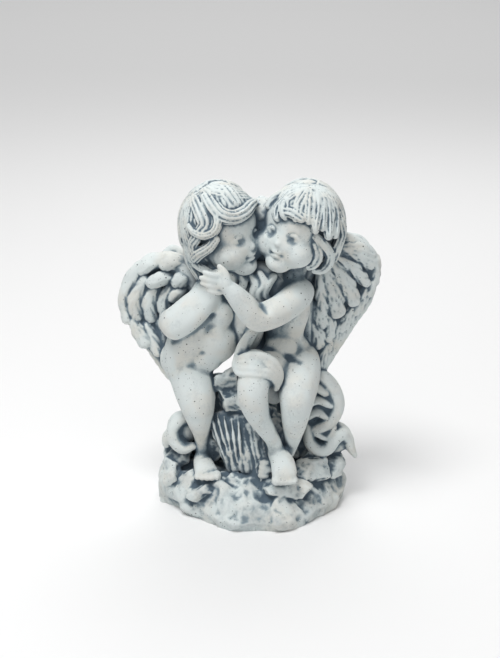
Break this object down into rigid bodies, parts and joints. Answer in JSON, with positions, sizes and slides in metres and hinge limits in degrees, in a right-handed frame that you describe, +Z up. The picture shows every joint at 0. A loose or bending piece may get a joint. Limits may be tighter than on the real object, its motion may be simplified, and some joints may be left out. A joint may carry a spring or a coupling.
{
  "type": "angel statue",
  "caption": "Garden statue cast in one piece: a standing and a seated cherub embrace on a rocky mound with a flat underside.",
  "frame": {"origin": "on the ground, at the middle of the statue's bounding box as seen from above", "axes": "+Z up, +X to the right of a viewer who faces the cherubs, -Y to the front"},
  "size_m": [0.2528, 0.1557, 0.3231],
  "materials": {
    "cast_stone": "matt cast concrete, pale grey, with a blue-grey wash left in the hollows and fine air holes"
  },
  "bodies": {
    "root": {"angel_statue": "cast_stone"}
  },
  "joints": []
}
